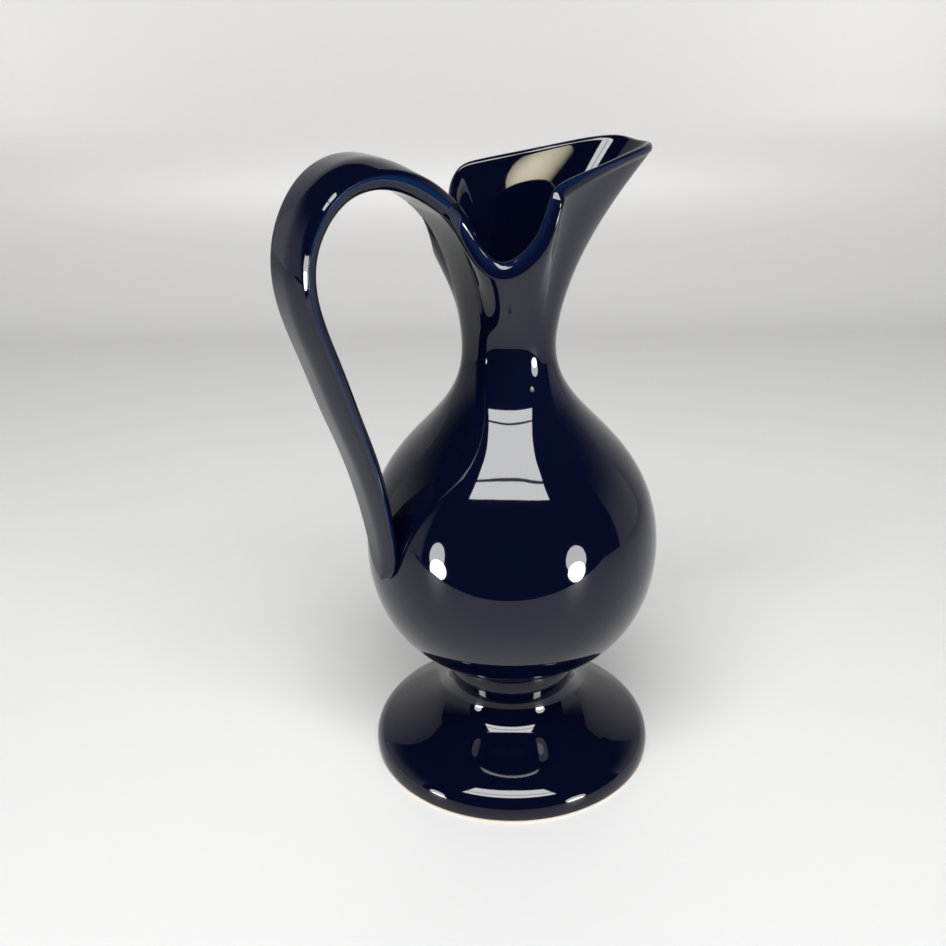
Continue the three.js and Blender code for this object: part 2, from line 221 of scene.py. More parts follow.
def make_piece(name, sheets, material):
    """A closed mesh from its sheets: points within MERGE mm become one, cells that lose a
    side become triangles or go, and each corner keeps the normal of its own sheet."""
    points, normals, cells, tone = joined(sheets)
    _, first, number = np.unique(np.round(points / MERGE).astype(np.int64), axis=0,
                                 return_index=True, return_inverse=True)
    faces = number.reshape(-1)[cells]
    keep = faces != np.roll(faces, -1, axis=1)
    whole = keep.sum(1) >= 3
    keep, faces, corners = keep[whole], faces[whole], cells[whole]
    loops = faces[keep]
    places = (points[first] + [AXIS_X, 0, 0]) * MM
    mesh = bpy.data.meshes.new(name)
    mesh.vertices.add(len(places))
    mesh.vertices.foreach_set("co", places.ravel())
    mesh.loops.add(len(loops))
    mesh.loops.foreach_set("vertex_index", loops)
    mesh.polygons.add(len(faces))
    mesh.polygons.foreach_set("loop_start", np.r_[0, np.cumsum(keep.sum(1))[:-1]])
    mesh.update(calc_edges=True)
    mesh.attributes.new("tone", "FLOAT", "POINT").data.foreach_set("value", tone[first])
    mesh.polygons.foreach_set("use_smooth", np.ones(len(faces), bool))
    mesh.normals_split_custom_set(normals[corners[keep]])
    mesh.materials.append(material)
    piece = bpy.data.objects.new(name, mesh)
    bpy.context.collection.objects.link(piece)
    return piece

# %% Measuring a piece
def report(piece):
    """Prints a piece's size in mm, its faces, and how many of its edges lack two faces."""
    mesh = piece.data
    places = np.empty(len(mesh.vertices) * 3)
    mesh.vertices.foreach_get("co", places)
    size = np.ptp(places.reshape(-1, 3), axis=0) / MM
    edges = np.empty(len(mesh.loops), int)
    mesh.loops.foreach_get("edge_index", edges)
    open_edges = int((np.bincount(edges, minlength=len(mesh.edges)) != 2).sum())
    print(piece.name, "size", np.round(size, 1), "faces", len(mesh.polygons),
          "open edges", open_edges)

# %% [markdown]
# ## The camera
# The picture looks down on the ewer from its left front, about 25 degrees below level.
# The place and the aim come from fitting the foot's ellipse, the globe and the mouth at
# once. The camera is also rolled by less than a degree, as a camera held by hand is.

# %% The camera
CAMERA_PLACE = (-248.06, -361.6, 330.7)
CAMERA_AIM = (0.48575, 0.76256, -0.42713)
CAMERA_ROLL = -0.788
FOCAL_PIXELS = 1250.0
PICTURE_PIXELS = 946
SENSOR_WIDTH = 36.0

aim = Vector(CAMERA_AIM).normalized()
level = aim.cross(Vector((0, 0, 1))).normalized()
overhead = level.cross(aim)
roll = math.radians(CAMERA_ROLL)
rightward = level * math.cos(roll) + overhead * math.sin(roll)
upward = overhead * math.cos(roll) - level * math.sin(roll)
camera = bpy.data.objects.new("camera", bpy.data.cameras.new("camera"))
bpy.context.collection.objects.link(camera)
place = (Vector(CAMERA_PLACE) + Vector((AXIS_X, 0, 0))) * MM
turned = Matrix((rightward, upward, -aim)).transposed().to_4x4()
camera.matrix_world = Matrix.Translation(place) @ turned
camera.data.sensor_width = SENSOR_WIDTH
camera.data.lens = FOCAL_PIXELS * SENSOR_WIDTH / PICTURE_PIXELS
camera.data.clip_start = 0.01
camera.data.clip_end = 50
bpy.context.scene.camera = camera
print("camera at", [round(value, 3) for value in camera.location])

# %% [markdown]
# ## Shader nodes
# A material is a small graph of nodes. Two helpers serve all of them: one makes a node with
# its settings, and one blends two colours by the tone that a surface carries.

# %% Shader helpers
def node(tree, kind, **settings):
    """A new shader node. Settings name its sockets, or its own properties."""
    made = tree.nodes.new(kind)
    for key, value in settings.items():
        if hasattr(made, key):
            setattr(made, key, value)
        else:
            made.inputs[key.replace("_", " ")].default_value = value
    return made


def two_tone(tree, first, last):
    """Mixes two colours by the attribute called tone, from 0 to 1, into the base colour."""
    tone = node(tree, "ShaderNodeAttribute", attribute_name="tone")
    blend = node(tree, "ShaderNodeMix", data_type="RGBA")
    blend.inputs[6].default_value = (*first, 1)
    blend.inputs[7].default_value = (*last, 1)
    tree.links.new(tone.outputs["Fac"], blend.inputs["Factor"])
    tree.links.new(blend.outputs[2], tree.nodes["Principled BSDF"].inputs["Base Color"])

# %% [markdown]
# ## Floor and backdrop
# The ewer stands on a pale sheet that bends up behind it, as in any small photo corner. Its
# colour is painted a little greyer as it goes back and up, a painted shade where less light
# falls. A polished pot is a mirror, so what is not in the picture matters too: the sheet
# ends a little way in front of the pot, and beyond it the room is dark. That front edge is
# the level line across the globe's reflections.

# %% The sheet that it stands on
FRONT_REACH = 305.0
FRONT_SKEW = 0.09
BACK_REACH = 520.0
SIDE_REACH = 1100.0
BEND_RADIUS = 160.0
SHEET_HEIGHT = 1200.0
# Between these two sums of way back and way up, the sheet's painted shade grows from none to full.
SHADE_FROM = 100.0
SHADE_TO = BACK_REACH + 300.0


def view_frame():
    """The level directions to the camera's right and away from it."""
    away = np.array([aim.x, aim.y, 0.0])
    away /= np.linalg.norm(away)
    return np.array([away[1], -away[0], 0.0]), away


def swept_sheet(columns=12, level_steps=40, bend_steps=24, rise_steps=20):
    """A level stretch, a quarter circle and an upright stretch, carried along the side way.
    The front edge runs a little askew: it is further off by a share of the way to the right.
    The tone, the share of painted shade, rises smoothly with the way back plus the way up."""
    turn = np.linspace(0, np.pi / 2, bend_steps)
    bend = np.stack([BACK_REACH + BEND_RADIUS * np.sin(turn), BEND_RADIUS * (1 - np.cos(turn))], 1)
    level = np.stack([np.linspace(-FRONT_REACH, BACK_REACH, level_steps),
                      np.zeros(level_steps)], 1)
    rise = np.stack([np.full(rise_steps, BACK_REACH + BEND_RADIUS),
                     np.linspace(BEND_RADIUS, SHEET_HEIGHT, rise_steps)], 1)
    line = np.vstack([level[:-1], bend, rise[1:]])
    side, away = view_frame()
    across = np.linspace(-SIDE_REACH, SIDE_REACH, columns)
    depth = np.tile(line[:, 0], (columns, 1))
    depth[:, 0] -= FRONT_SKEW * across
    points = (across[:, None, None] * side + depth[..., None] * away
              + line[None, :, 1:] * np.array([0, 0, 1.0]))
    return points, smooth(line[:, 0] + line[:, 1], SHADE_FROM, SHADE_TO)[None]


# The sheet runs from the first colour to the second by its tone: the darker second colour is
# painted shade on the back and the upright part.
FLOOR_PALE = (0.70, 0.70, 0.695)
WALL_PAINTED_SHADE = (0.53, 0.525, 0.52)
sheet_material = bpy.data.materials.new("pale_sheet_painted_shade")
sheet_material.use_nodes = True
two_tone(sheet_material.node_tree, FLOOR_PALE, WALL_PAINTED_SHADE)
sheet_shader = sheet_material.node_tree.nodes["Principled BSDF"]
sheet_shader.inputs["Roughness"].default_value = 0.4
floor_grid, sheet_painted_shade = swept_sheet()
floor = make_piece("floor", [sheet(floor_grid, ring=False, tone=sheet_painted_shade)], sheet_material)
print("sheet runs", FRONT_REACH, "mm to the front and", BACK_REACH + BEND_RADIUS, "mm back")

# %% [markdown]
# ## Light
# The glaze mirrors whatever lights it, so the lamps are placed by where they show. A pair of
# long bent panels high in front gives the bright patch on the shoulder. The gap between
# them is a thin dark line, seen twice: in the full globe, and upside down in the hollow
# below the neck. Two round lamps low at the sides give the two spots on the globe, and a
# dimmer tall lamp behind each gives the spot its soft hood. A small warm lamp stands for a
# window: it shows on the far inside of the mouth, which looks towards it. Area lamps serve
# for the small ones, but they are always flat, so the bent panels are meshes that glow.

# %% Lamps
def toward(azimuth, elevation):
    """The direction at an azimuth, to the right of the way from the pot to the camera, and
    an elevation above level: side sin a cos e - away cos a cos e + up sin e."""
    side, away = view_frame()
    a, e = math.radians(azimuth), math.radians(elevation)
    return (side * math.sin(a) - away * math.cos(a)) * math.cos(e) + np.array([0, 0, math.sin(e)])


def lamp(name, azimuth, elevation, distance, size, radiance, shape="DISK", height=100.0):
    """An area lamp that faces the pot from a direction. Sizes are in mm. Its power in watts
    is pi times the product of its sizes in metres times the radiance. A round face fills
    only a part, pi/4, of that square, and is brighter by as much."""
    light = bpy.data.lights.new(name, "AREA")
    light.shape = shape
    light.size, light.size_y = size[0] * MM, size[-1] * MM
    light.energy = math.pi * size[0] * size[-1] * MM * MM * radiance
    target = Vector((AXIS_X, 0, height)) * MM
    place = target + Vector(toward(azimuth, elevation)) * distance * MM
    lamp_object = bpy.data.objects.new(name, light)
    lamp_object.location = place
    lamp_object.rotation_euler = (place - target).to_track_quat("Z", "Y").to_euler()
    lamp_object.visible_camera = False
    bpy.context.collection.objects.link(lamp_object)
    return lamp_object

# %% Bent panels
PANEL_DISTANCE = 1300.0
PANEL_HEIGHT = 145.0
PANEL_RADIANCE = 17.0
PANEL_SAG = 0.003
PANEL_MIDDLE = -3.0
PANEL_SIDES = (-49.0, 40.5)
PANEL_LOW = (48.7, 56.2)
PANEL_HIGH = (57.2, 67.4)


def bright_material(name, radiance):
    """A surface that gives off an even white light."""
    material = bpy.data.materials.new(name)
    material.use_nodes = True
    tree = material.node_tree
    glow = node(tree, "ShaderNodeEmission", Strength=radiance)
    tree.links.new(glow.outputs[0], tree.nodes["Material Output"].inputs["Surface"])
    return material


def bent_lamp(name, low, high, radiance, columns=49, rows=5):
    """A lamp bent like an arch round the pot: its edges stand at an elevation in the middle
    and sink towards both ends by PANEL_SAG times the square of the azimuth from there."""
    azimuth = np.linspace(*PANEL_SIDES, columns)
    sag = PANEL_SAG * (azimuth - PANEL_MIDDLE) ** 2
    face = np.array([[toward(a, e - lowered) for e in np.linspace(low, high, rows)]
                     for a, lowered in zip(azimuth, sag)])
    points = face * PANEL_DISTANCE + [0, 0, PANEL_HEIGHT]
    piece = make_piece(name, [sheet(points, ring=False)], bright_material(name, radiance))
    piece.visible_camera = False


bent_lamp("panel_low", *PANEL_LOW, PANEL_RADIANCE)
bent_lamp("panel_high", *PANEL_HIGH, PANEL_RADIANCE)
print("panels from", PANEL_LOW[0], "to", PANEL_HIGH[1], "degrees above level")

# %% Small lamps
SPOT_RADIANCE = 30.0
HOOD_RADIANCE = 11.0
# The warm lamp's light keeps inside a narrow cone of half angle h, which makes the middle
# of its face tan h / (tan h - h) times brighter, about a hundred times at 10 degrees.
WINDOW_RADIANCE = 0.249
WINDOW_SPREAD = 20.0
WINDOW_COLOR = (1.0, 0.90, 0.66)

warm_window = lamp("warm_window", 39.5, 18.5, 320, (62, 100), WINDOW_RADIANCE, "ELLIPSE", 235.0)
warm_window.data.color = WINDOW_COLOR
warm_window.data.spread = math.radians(WINDOW_SPREAD)
lamp("left_round", -56.6, -7.3, 1100, (260, 260), SPOT_RADIANCE)
lamp("right_round", 46.0, -6.0, 1100, (265, 265), SPOT_RADIANCE)
lamp("left_hood", -58.5, 1.0, 1160, (260, 420), HOOD_RADIANCE, "ELLIPSE")
lamp("right_hood", 46.5, 2.0, 1160, (330, 420), HOOD_RADIANCE, "ELLIPSE")

# %% [markdown]
# ## The room
# In front of the pot the room is dark, up to the lamps. Past both sides it has pale walls,
# which the flanks of the globe mirror as two grey fields with an upright edge, and which
# fade into the dark overhead. The world is drawn by direction: how far it points to the
# front, and how high, decide between the two. ROOM_FADE is the sine of the angle above
# level where the last of the pale ends.

# %% Shader arithmetic
def math_node(tree, operation, first, second=None):
    """A math node on one or two sockets or numbers."""
    made = tree.nodes.new("ShaderNodeMath")
    made.operation = operation
    for socket, value in zip(made.inputs, (first, second)):
        if isinstance(value, bpy.types.NodeSocket):
            tree.links.new(value, socket)
        elif value is not None:
            socket.default_value = value
    return made.outputs[0]


def smooth_step(tree, value, low, high):
    """A socket that goes from 0 to 1 smoothly as another goes from low to high."""
    made = node(tree, "ShaderNodeMapRange", interpolation_type="SMOOTHSTEP")
    tree.links.new(value, made.inputs["Value"])
    made.inputs["From Min"].default_value = low
    made.inputs["From Max"].default_value = high
    return made.outputs[0]

# %% The world
ROOM_DARK = (0.012, 0.013, 0.018)
ROOM_PALE = (0.54, 0.54, 0.56)
ROOM_SHOWN = (0.78, 0.78, 0.78)
ROOM_AXIS = 7.5
ROOM_EDGE = math.cos(math.radians(80.5))
ROOM_EDGE_BLUR = (-0.02, 0.03)
ROOM_FADE = 0.62
ROOM_FADE_DEPTH = 0.52


def draw_world():
    """The world's colour by direction: pale at the sides and behind, darker with height. The
    camera itself sees an even pale background where the sheet ends."""
    world = bpy.data.worlds.new("room")
    bpy.context.scene.world = world
    world.use_nodes = True
    tree = world.node_tree
    direction = node(tree, "ShaderNodeTexCoord")
    front = node(tree, "ShaderNodeVectorMath", operation="DOT_PRODUCT")
    tree.links.new(direction.outputs["Generated"], front.inputs[0])
    front.inputs[1].default_value = toward(ROOM_AXIS, 0)
    parts = node(tree, "ShaderNodeSeparateXYZ")
    tree.links.new(direction.outputs["Generated"], parts.inputs[0])
    height = parts.outputs["Z"]
    level_length = math_node(tree, "SQRT", math_node(
        tree, "SUBTRACT", 1.0, math_node(tree, "MULTIPLY", height, height)))
    length = math_node(tree, "MAXIMUM", level_length, 0.01)
    share = math_node(tree, "DIVIDE", front.outputs["Value"], length)
    rear = smooth_step(tree, math_node(tree, "SUBTRACT", ROOM_EDGE, share), *ROOM_EDGE_BLUR)
    below = math_node(tree, "SUBTRACT", ROOM_FADE, height)
    low = smooth_step(tree, below, 0.0, ROOM_FADE_DEPTH)
    mix = node(tree, "ShaderNodeMix", data_type="RGBA")
    tree.links.new(math_node(tree, "MULTIPLY", rear, low), mix.inputs["Factor"])
    mix.inputs[6].default_value = (*ROOM_DARK, 1)
    mix.inputs[7].default_value = (*ROOM_PALE, 1)
    shown = node(tree, "ShaderNodeMix", data_type="RGBA")
    path = node(tree, "ShaderNodeLightPath")
    tree.links.new(path.outputs["Is Camera Ray"], shown.inputs["Factor"])
    tree.links.new(mix.outputs[2], shown.inputs[6])
    shown.inputs[7].default_value = (*ROOM_SHOWN, 1)
    tree.links.new(shown.outputs[2], tree.nodes["Background"].inputs["Color"])


draw_world()
bpy.context.scene.view_settings.view_transform = "Standard"
print("world:", bpy.context.scene.world.name)

# %% [markdown]
# ## The glaze
# The glaze is glass over clay. Its colour is a near-black blue that turns brighter blue
# where the coat is thin, on the rim and the strap's edges: there the tone is high. Its skin
# is a mirror. Two very low bumps shape it, the slight waviness of a fired surface and the
# level rings of throwing. Under the foot a potter wipes the glaze off, so that the pot does
# not stick to the kiln's shelf, and a thin line of bare clay shows there. The patterns read
# Object coordinates, so they stay fixed to the pot without any unwrapping.

# %% The glaze's colours and the bare foot
GLAZE_DEEP = (0.0010, 0.0018, 0.0090)
GLAZE_THIN = (0.0030, 0.0115, 0.0420)
GLAZE_ROUGHNESS = 0.035
GLAZE_IOR = 1.43
CLAY = (0.56, 0.47, 0.38)
CLAY_ROUGHNESS = 0.85
BARE_HEIGHT = 0.9 * MM
BARE_SOFTNESS = 0.1 * MM


def bare_below(tree, shader, place):
    """Lets the clay show, dull and pale, under the height to which the foot was wiped clean."""
    parts = node(tree, "ShaderNodeSeparateXYZ")
    tree.links.new(place.outputs["Object"], parts.inputs[0])
    glazed = smooth_step(tree, parts.outputs["Z"], BARE_HEIGHT - BARE_SOFTNESS,
                         BARE_HEIGHT + BARE_SOFTNESS)
    color = node(tree, "ShaderNodeMix", data_type="RGBA")
    color.inputs[6].default_value = (*CLAY, 1)
    tree.links.new(shader.inputs["Base Color"].links[0].from_socket, color.inputs[7])
    tree.links.new(glazed, color.inputs["Factor"])
    tree.links.new(color.outputs[2], shader.inputs["Base Color"])
    dull = node(tree, "ShaderNodeMapRange", To_Min=CLAY_ROUGHNESS, To_Max=GLAZE_ROUGHNESS)
    tree.links.new(glazed, dull.inputs["Value"])
    tree.links.new(dull.outputs[0], shader.inputs["Roughness"])

# %% The glaze on the whole pot
def glaze(name, wiped=False):
    """Near-black glass with a mirror skin, bluer where the tone is high. Two bumps shape the
    skin: a slow waviness, and faint level rings such as fingers leave on a turned wall."""
    material = bpy.data.materials.new(name)
    material.use_nodes = True
    tree = material.node_tree
    shader = tree.nodes["Principled BSDF"]
    shader.inputs["Roughness"].default_value = GLAZE_ROUGHNESS
    shader.inputs["IOR"].default_value = GLAZE_IOR
    place = node(tree, "ShaderNodeTexCoord")
    two_tone(tree, GLAZE_DEEP, GLAZE_THIN)
    ripple = node(tree, "ShaderNodeTexNoise", Scale=45.0, Detail=2.0)
    tree.links.new(place.outputs["Object"], ripple.inputs["Vector"])
    bump = node(tree, "ShaderNodeBump", Strength=0.12, Distance=0.0006)
    tree.links.new(ripple.outputs["Fac"], bump.inputs["Height"])
    squeeze = node(tree, "ShaderNodeMapping", Scale=(0.12, 0.12, 1))
    tree.links.new(place.outputs["Object"], squeeze.inputs["Vector"])
    rings = node(tree, "ShaderNodeTexNoise", Scale=240.0, Detail=1.0)
    tree.links.new(squeeze.outputs[0], rings.inputs["Vector"])
    ridged = node(tree, "ShaderNodeBump", Strength=0.10, Distance=0.00012)
    tree.links.new(rings.outputs["Fac"], ridged.inputs["Height"])
    tree.links.new(bump.outputs["Normal"], ridged.inputs["Normal"])
    tree.links.new(ridged.outputs["Normal"], shader.inputs["Normal"])
    if wiped:
        bare_below(tree, shader, place)
    return material


glaze_material = glaze("deep_blue_glaze")
wiped_material = glaze("deep_blue_glaze_wiped_foot", wiped=True)
print("glazes:", glaze_material.name, wiped_material.name)

# %% [markdown]
# ## The foot
# The foot is turned: a low band, a dome with a full edge, a sweep up like a trumpet's bell,
# and a short stem with its waist low down. The waist matters: just above it the wall leans
# out and mirrors the dark dome, and just below it a ring mirrors the pale sheet. The foot
# is hollow from below. Its profile is carried round the axis. A Screw modifier could do
# that as well, but a grid also brings normals from the curve itself, and in a mirror any
# others would show.

# %% Turning a profile
def carried_round(line, turns=256):
    """A profile of (radius, height) turned: x = r cos a, y = r sin a, z = height."""
    angle = np.linspace(0, 2 * np.pi, turns, endpoint=False)
    ring = np.stack([np.cos(angle), np.sin(angle), 0 * angle], 1)
    return ring[:, None] * line[None, :, :1] + line[None, :, 1:] * np.array([0, 0, 1.0])

# %% The foot's profile
BULGE = FOOT_RADIUS + 0.2
DOME_CONTROLS = [(BULGE, FOOT_BAND), (BULGE, 8.6), (53.4, 10.9), FOOT_BEND]
TRUMPET_CONTROLS = [FOOT_BEND, (35, 20.4), (STEM_RADIUS + 1, 23.5), (STEM_RADIUS, STEM_BASE)]
STEM_CONTROLS = [(STEM_RADIUS, STEM_BASE), (STEM_RADIUS + 0.45, STEM_BASE + 3.8),
                 (STEM_RADIUS + 2.1, STEM_BASE + 8.7), (JOINT_RADIUS, FOOT_HEIGHT)]


def foot_profile(count=60):
    """Two cubic curves that meet at the bend of the foot: the dome, then the trumpet."""
    t = np.linspace(0, 1, count)
    return np.vstack([cubic(DOME_CONTROLS, t), cubic(TRUMPET_CONTROLS, t)[1:]])


def flat_ring(inner, outer, height, up):
    """A level ring between two radii, facing up or down."""
    ends = (outer, inner) if up else (inner, outer)
    line = np.array([(radius, height) for radius in ends], float)
    return sheet(carried_round(line), np.array([0, 0, 1.0 if up else -1.0]))

# %% The foot
def turned_foot(stem_steps=30, outside_steps=170, hollow_steps=90):
    """The foot's sheets: the band, the bell, the stem, the top ring, and the hollow inside."""
    bell = foot_profile()
    stem = cubic(STEM_CONTROLS, np.linspace(0, 1, stem_steps))
    outside = evenly(np.vstack([bell, stem[1:]]), outside_steps)
    hollow = evenly(stood_in(bell, FOOT_WALL), hollow_steps)
    hollow[0, 1] = 0
    bore = JOINT_RADIUS - FOOT_WALL
    hollow = np.vstack([hollow, [(bore, FOOT_HEIGHT)]])
    return [sheet(carried_round(np.vstack([[(FOOT_RADIUS, 0)], outside]))),
            flat_ring(bore, JOINT_RADIUS, FOOT_HEIGHT, True),
            sheet(carried_round(hollow[::-1])),
            flat_ring(hollow[0, 0], FOOT_RADIUS, 0, False)]


foot_piece = make_piece("foot_surface", turned_foot(), wiped_material)
report(foot_piece)

# %% [markdown]
# ## The globe
# The globe's profile has two cubic curves that meet upright at its widest line. The upper
# one runs on past the joint to the waist of the neck, so the joint does not show in the
# glaze. The wall follows the profile inside, and a floor closes it below. Foot and globe
# could be one mesh, but the real ones were turned apart, and stay apart here.

# %% The globe's profile
BOWL_PULL = (47.4, 8.2)
BOWL_REACH = 21.3
SHOULDER_REACH = 44.6
NECK_DRAW = 30.4


def globe_profile(count=300):
    """Two cubic curves from the foot to the waist of the neck, upright at the widest line."""
    t = np.linspace(0, 1, count)
    low = cubic([(JOINT_RADIUS, FOOT_HEIGHT), (BOWL_PULL[0], FOOT_HEIGHT + BOWL_PULL[1]),
                 (BELLY_RADIUS, WIDEST - BOWL_REACH), (BELLY_RADIUS, WIDEST)], t)
    high = cubic([(BELLY_RADIUS, WIDEST), (BELLY_RADIUS, WIDEST + SHOULDER_REACH),
                  (NECK_RADIUS, WAIST - NECK_DRAW), (NECK_RADIUS, WAIST)], t)
    return np.vstack([low, high[1:]])


def clipped(line, low, high, count):
    """The stretch of a rising profile between two heights, evenly stepped."""
    ends = [np.interp(height, line[:, 1], line[:, 0]) for height in (low, high)]
    inner = line[(line[:, 1] > low) & (line[:, 1] < high)]
    return evenly(np.vstack([[(ends[0], low)], inner, [(ends[1], high)]]), count)

# %% The globe
def turned_globe(outside_steps=190, lining_steps=120):
    """The globe's sheets: outside, the ring at the neck, the lining, and both floors."""
    outline = globe_profile()
    lining = stood_in(outline, WALL)
    outside = clipped(outline, FOOT_HEIGHT, NECK_JOINT, outside_steps)
    inside = clipped(lining, lining[0, 1], NECK_JOINT, lining_steps)
    under = np.array([(0, FOOT_HEIGHT), (JOINT_RADIUS, FOOT_HEIGHT)], float)
    floor_line = np.array([inside[0], (0, inside[0, 1])])
    return [sheet(carried_round(under), np.array([0, 0, -1.0])), sheet(carried_round(outside)),
            flat_ring(inside[-1, 0], outside[-1, 0], NECK_JOINT, True),
            sheet(carried_round(inside[::-1])),
            sheet(carried_round(floor_line), np.array([0, 0, 1.0]))]


globe_piece = make_piece("globe_surface", turned_globe(), glaze_material)
report(globe_piece)

# %% [markdown]
# ## The neck and mouth
# Above the waist the neck stops being round. Its rim is a leaf when seen from above, with
# the beak at its tip. At the sides the rim dips into a deep cut, and at the back it climbs
# again along a tongue that the strap grows out of. The rim is a spline through stations,
# and each station says where the rim is, how far the wall leans out under it, and how
# thick it is. The rim could be sculpted by eye, but a few stations keep it smooth, and easy
# to change. Its far half is as they say. The near half is the same mirrored, apart from a
# corner that the potter left rounder and further forward.

# %% The rim's stations
THICK_SHARE = 0.55


def roundness(half):
    """How far a rounded edge stands out: by its half thickness, of which only THICK_SHARE
    counts past RIM_HALF, so a thick edge is blunter."""
    return np.where(half > RIM_HALF, RIM_HALF + (half - RIM_HALF) * THICK_SHARE, half)


TONGUE_EDGE = STRAP_HALF_WIDTH - float(roundness(STRAP_HALF_ROOT))

# Each station: angle round the neck, forward, sideways, height, lean in degrees, half
# thickness, and how far the rounding is drawn down outside and its crest inwards.
RIM_STATIONS = [
    (0, TIP_REACH, 0, TIP_TOP, 46, RIM_HALF, 0.3),
    (14, TIP_REACH - 1.6, 8.8, TIP_TOP + 0.5, 44, RIM_HALF, 0.4),
    (34, TIP_REACH - 13, 14.4, TIP_TOP, 36, RIM_HALF, 0.1),
    (58, 23.7, MOUTH_HALF_WIDTH - 9.3, TIP_TOP - 2.4, 26, RIM_HALF, 0.1),
    (80, 4.5, MOUTH_HALF_WIDTH - 3.3, TIP_TOP - 5.0, 20, RIM_HALF + 0.1, 0.2),
    (89, -3.2, MOUTH_HALF_WIDTH - 0.4, TIP_TOP - 7.9, 19, RIM_HALF + 0.1, 0.5),
    (97, -6.5, MOUTH_HALF_WIDTH, TIP_TOP - 14.8, 19, RIM_HALF + 0.2, 0.9),
    (108, -8.8, MOUTH_HALF_WIDTH - 2.4, TIP_TOP - 24.4, 22, RIM_HALF + 0.5, 1.6),
    (126, -16.0, MOUTH_HALF_WIDTH - 8.3, TIP_TOP - 31.7, 25, RIM_HALF + 0.8, 2.0),
    (142, -22.6, MOUTH_HALF_WIDTH - 14.9, TIP_TOP - 28.0, 29, RIM_HALF + 0.7, 1.6),
    (154, 5.6 - TONGUE_BACK, TONGUE_EDGE + 0.2, TONGUE_TOP - 8, 39, RIM_HALF + 1.2, 0.8),
    (162, -TONGUE_BACK, TONGUE_EDGE, TONGUE_TOP, TONGUE_LEAN, STRAP_HALF_ROOT, 0.0),
]

# What the near half adds: column of the station, angle where it is most, spread in degrees,
# and amount, as a bell curve amount exp(-((angle - most) / spread)^2).
NEAR_CHANGES = [(1, -94, 12, 2.4), (3, -94, 12, 0.3), (6, -80, 24, 1.2)]
print(len(RIM_STATIONS), "stations, tongue edge", round(TONGUE_EDGE, 2), "mm from the middle")

# %% The rim as rows of points
def rim_rows(per_span=12, across=24):
    """The rim as rows of place, (angle, lean, half, bevel) and tangent, tongue edge to tongue
    edge past the beak, and then straight across the tongue. free is 1 on the rounded rim."""
    half = np.array(RIM_STATIONS, float)
    near = half[:0:-1] * [-1, 1, -1, 1, 1, 1, 1]
    for column, centre, spread, amount in NEAR_CHANGES:
        near[:, column] += amount * np.exp(-((near[:, 0] - centre) / spread) ** 2)
    whole = np.vstack([near, half])
    count = len(whole)
    u = np.linspace(0, count - 1, (count - 1) * per_span + 1)
    lean = math.radians(TONGUE_LEAN)
    climb = (np.linalg.norm(half[-1, 1:4] - half[-2, 1:4])
             * np.array([-math.sin(lean), 0, math.cos(lean)]))
    place = spline(whole[:, 1:4], u, (-climb, climb))
    settings = spline(whole[:, [0, 4, 5, 6]], u)
    tangent = unit(np.gradient(place, axis=0))
    tangent[0], tangent[-1] = unit(-climb), unit(climb)
    f = np.arange(1, across + 1)[:, None] / (across + 1)
    last_angle = RIM_STATIONS[-1][0]
    turned_on = last_angle + (360 - 2 * last_angle) * f
    place_on = place[-1] * (1 - f) + place[0] * f
    settings_on = np.hstack([turned_on, f * 0 + TONGUE_LEAN, f * 0 + STRAP_HALF_ROOT, f * 0])
    tangent_on = np.broadcast_to(unit(climb), place_on.shape)
    free = np.r_[np.ones(len(place)), np.zeros(across)]
    return (np.vstack([place, place_on]), np.vstack([settings, settings_on]),
            np.vstack([tangent, tangent_on]), free)

# %% [markdown]
# ## The wall under the rim
# The neck could be drawn as rings stacked upwards, but the rim rises and falls too much for
# that. So the wall is made of upright slices, one under each rim point: each is a curve from
# the round waist up to the rim, which it meets in line with the wall's lean there. A mirror
# shows every touch of the hand, and the reflections tell of three: the wall swells where the
# tongue's root runs down, it is pressed a little flat on the side that faces the camera, and
# above the waist it is eased out again a trace there.

# %% Marks of the hands
# Each mark: direction in degrees, power of the cosine round it, amount outwards, and the
# heights at which it starts, is full, starts to fade and ends.
HAND_MARKS = [
    (150, 4, ROOT_SWELL, NECK_JOINT, WAIST, WAIST + 2, 221),
    (-124.5, 2, -FRONT_PRESS, NECK_JOINT, WAIST, WAIST + 2, 400),
    (-124.5, 2, 0.55, WAIST + 2, 193, 193, 210),
]


def hand_shift(angle, height):
    """How far the potter's hands moved the wall: the sum over the marks of amount times a
    power of the cosine of the angle from the mark's direction, coming and going with
    height."""
    shift = 0
    for turn, power, amount, first, full, fall, last in HAND_MARKS:
        share = np.maximum(0, np.cos(angle - math.radians(turn))) ** power
        grow = smooth(height, first, full) * (1 - smooth(height, fall, last))
        way = np.array([math.cos(math.radians(turn)), math.sin(math.radians(turn)), 0])
        shift = shift + (amount * share * grow)[..., None] * way
    return shift

# %% Slices of wall
REAR_TURN = (118, 162)
RIM_PULL = 0.32
LEAST_OUT = 2.0


def wall_directions(place, settings, tangent):
    """Up the wall, and square out of it, at each rim point. The wall leans out along its
    heading, away from the neck. Over the angles of REAR_TURN the heading turns to the
    strap's own way."""
    angle = np.radians(settings[:, 0])
    lean = np.radians(settings[:, 1])[:, None]
    ring = np.stack([np.cos(angle), np.sin(angle), 0 * angle], 1)
    turn = np.abs((settings[:, 0] + 180) % 360 - 180)
    heading = unit((place - ring * (NECK_RADIUS - WALL / 2)) * [1, 1, 0])
    rear = smooth(turn, *REAR_TURN)[:, None]
    heading = unit(heading * (1 - rear) + np.array([-1.0, 0, 0]) * rear)
    up = heading * np.sin(lean) + np.array([0, 0, 1.0]) * np.cos(lean)
    out = heading * np.cos(lean) - np.array([0, 0, 1.0]) * np.sin(lean)
    normal = unit(out - (out * tangent).sum(1, keepdims=True) * tangent)
    return ring, up, normal, np.cross(normal, tangent)


